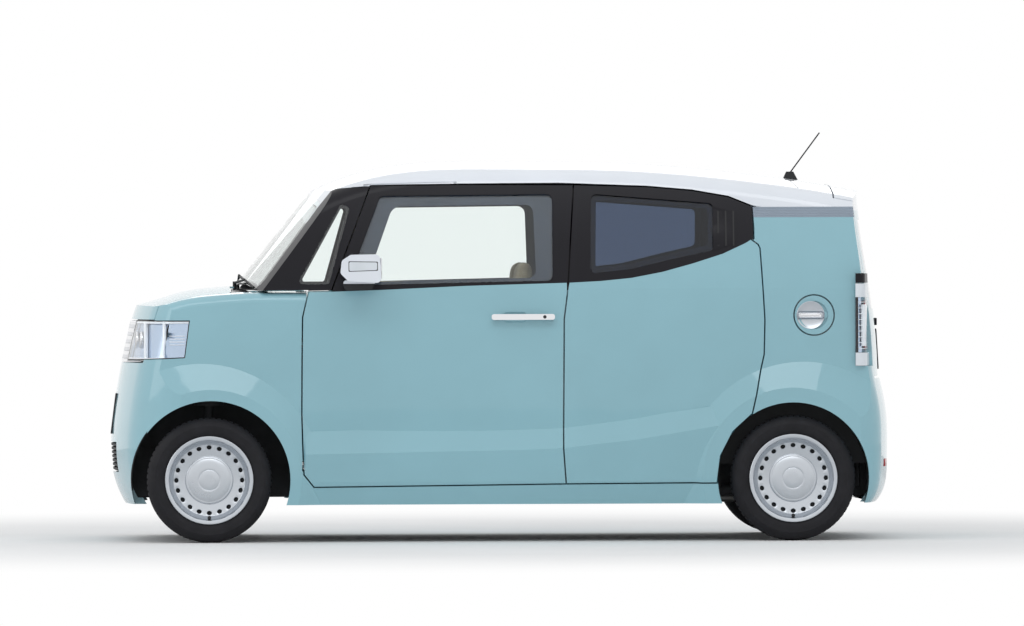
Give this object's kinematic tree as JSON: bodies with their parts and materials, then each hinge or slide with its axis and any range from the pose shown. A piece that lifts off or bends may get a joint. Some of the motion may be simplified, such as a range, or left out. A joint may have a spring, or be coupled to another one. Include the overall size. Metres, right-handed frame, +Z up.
{
  "type": "kei car",
  "caption": "Small tall hatchback with hinged doors, tailgate, bonnet and fuel lid, steered front wheels and an open cabin.",
  "frame": {"origin": "on the ground under the middle of the car", "axes": "+X forward, +Y to the left, +Z up"},
  "size_m": [3.3948, 1.81, 1.7697],
  "materials": {
    "paint_aqua": "gloss paint",
    "paint_white": "gloss paint",
    "black_trim": "satin black",
    "band_grey": "fine ribs",
    "clear_glass": "clear",
    "tinted_glass": "privacy tint",
    "lamp_clear": "clear lens over bright reflectors",
    "grille_finish": "bright",
    "chrome_trim": "bright",
    "underbody": "satin underbody paint",
    "black_plastic": "grained",
    "interior_plastic": "fine grain",
    "seat_cloth": "woven",
    "tyre_rubber": "matt",
    "wheel_silver": "silver paint",
    "cast_metal": "rough cast",
    "steel_tube": "dull",
    "steering_rim": "soft"
  },
  "bodies": {
    "body_shell": {"antenna": "black_plastic", "body_side_left": "paint_aqua", "body_side_right": "paint_aqua", "cabin_frame": "black_trim", "cowl": "black_trim", "dashboard": "interior_plastic", "engine": "cast_metal", "exhaust": "steel_tube", "floor_pan": "underbody", "front_bumper": "paint_aqua", "front_fenders": "paint_aqua", "front_seats": "seat_cloth", "front_struts": "underbody", "front_suspension": "underbody", "fuel_tank": "black_plastic", "grille": "grille_finish", "headlamps": "lamp_clear", "quarter_windows": "clear_glass", "rear_bumper": "paint_aqua", "rear_seats": "seat_cloth", "rear_suspension": "underbody", "roof_band": "band_grey", "roof_panel": "paint_white", "tail_lamps": "lamp_clear", "wheel_liners": "black_plastic", "windscreen": "clear_glass", "wipers": "black_plastic"},
    "front_door_left_body": {"door_handle_left": "chrome_trim", "front_door_frame_left": "black_trim", "front_door_glass_left": "clear_glass", "front_door_left": "paint_aqua", "mirror_left": "paint_white"},
    "rear_door_left_body": {"rear_door_frame_left": "black_trim", "rear_door_glass_left": "tinted_glass", "rear_door_left": "paint_aqua"},
    "knuckle_left_body": {"knuckle_left": "cast_metal"},
    "wheel_front_left_body": {"tyre_front_left": "tyre_rubber", "wheel_front_left": "wheel_silver"},
    "wheel_rear_left_body": {"tyre_rear_left": "tyre_rubber", "wheel_rear_left": "wheel_silver"},
    "front_door_right_body": {"door_handle_right": "chrome_trim", "front_door_frame_right": "black_trim", "front_door_glass_right": "clear_glass", "front_door_right": "paint_aqua", "mirror_right": "paint_white"},
    "rear_door_right_body": {"rear_door_frame_right": "black_trim", "rear_door_glass_right": "tinted_glass", "rear_door_right": "paint_aqua"},
    "knuckle_right_body": {"knuckle_right": "cast_metal"},
    "wheel_front_right_body": {"tyre_front_right": "tyre_rubber", "wheel_front_right": "wheel_silver"},
    "wheel_rear_right_body": {"tyre_rear_right": "tyre_rubber", "wheel_rear_right": "wheel_silver"},
    "tailgate_body": {"tailgate": "paint_aqua", "tailgate_cap": "paint_white", "tailgate_glass": "tinted_glass"},
    "bonnet_body": {"bonnet": "paint_aqua"},
    "fuel_lid_body": {"fuel_lid": "paint_aqua"},
    "steering_wheel_body": {"steering_wheel": "steering_rim"}
  },
  "joints": [
    {"name": "front_door_left_hinge", "type": "hinge", "parent": "body_shell", "child": "front_door_left_body", "pos_m": [0.8985, 0.7295, 0.33], "axis": [0, 0.0612, -0.9981], "range_deg": [0, 68]},
    {"name": "rear_door_left_hinge", "type": "hinge", "parent": "body_shell", "child": "rear_door_left_body", "pos_m": [-0.3075, 0.7267, 0.392], "axis": [0, 0.0462, -0.9989], "range_deg": [0, 75]},
    {"name": "steer_left", "type": "hinge", "parent": "body_shell", "child": "knuckle_left_body", "pos_m": [1.2675, 0.61, 0.175], "axis": [0, -0.1155, 0.9933], "range_deg": [-36, 36]},
    {"name": "wheel_front_left_spin", "type": "hinge", "parent": "knuckle_left_body", "child": "wheel_front_left_body", "pos_m": [1.2675, 0.652, 0.27], "axis": [0, 1, 0], "continuous": true},
    {"name": "wheel_rear_left_spin", "type": "hinge", "parent": "body_shell", "child": "wheel_rear_left_body", "pos_m": [-1.2525, 0.652, 0.27], "axis": [0, 1, 0], "continuous": true},
    {"name": "front_door_right_hinge", "type": "hinge", "parent": "body_shell", "child": "front_door_right_body", "pos_m": [0.8985, -0.7295, 0.33], "axis": [0, 0.0612, 0.9981], "range_deg": [0, 68]},
    {"name": "rear_door_right_hinge", "type": "hinge", "parent": "body_shell", "child": "rear_door_right_body", "pos_m": [-0.3075, -0.7267, 0.392], "axis": [0, 0.0462, 0.9989], "range_deg": [0, 75]},
    {"name": "steer_right", "type": "hinge", "parent": "body_shell", "child": "knuckle_right_body", "pos_m": [1.2675, -0.61, 0.175], "axis": [0, 0.1155, 0.9933], "range_deg": [-36, 36]},
    {"name": "wheel_front_right_spin", "type": "hinge", "parent": "knuckle_right_body", "child": "wheel_front_right_body", "pos_m": [1.2675, -0.652, 0.27], "axis": [0, 1, 0], "continuous": true},
    {"name": "wheel_rear_right_spin", "type": "hinge", "parent": "body_shell", "child": "wheel_rear_right_body", "pos_m": [-1.2525, -0.652, 0.27], "axis": [0, 1, 0], "continuous": true},
    {"name": "tailgate_hinge", "type": "hinge", "parent": "body_shell", "child": "tailgate_body", "pos_m": [-1.415, 0, 1.535], "axis": [0, 1, 0], "range_deg": [0, 78]},
    {"name": "bonnet_hinge", "type": "hinge", "parent": "body_shell", "child": "bonnet_body", "pos_m": [1.1535, 0, 1.099], "axis": [0, -1, 0], "range_deg": [0, 45]},
    {"name": "fuel_lid_hinge", "type": "hinge", "parent": "body_shell", "child": "fuel_lid_body", "pos_m": [-1.236, 0.68, 0.973], "axis": [0, 0, -1], "range_deg": [0, 100]},
    {"name": "steering_wheel_turn", "type": "hinge", "parent": "body_shell", "child": "steering_wheel_body", "pos_m": [0.5, -0.31, 0.915], "axis": [-0.922, 0, 0.3872], "range_deg": [-540, 540]}
  ],
  "couplings": [
    {"joint": "steer_left", "follows": "steering_wheel_turn", "ratio": 0.066667},
    {"joint": "steer_right", "follows": "steering_wheel_turn", "ratio": 0.066667}
  ]
}
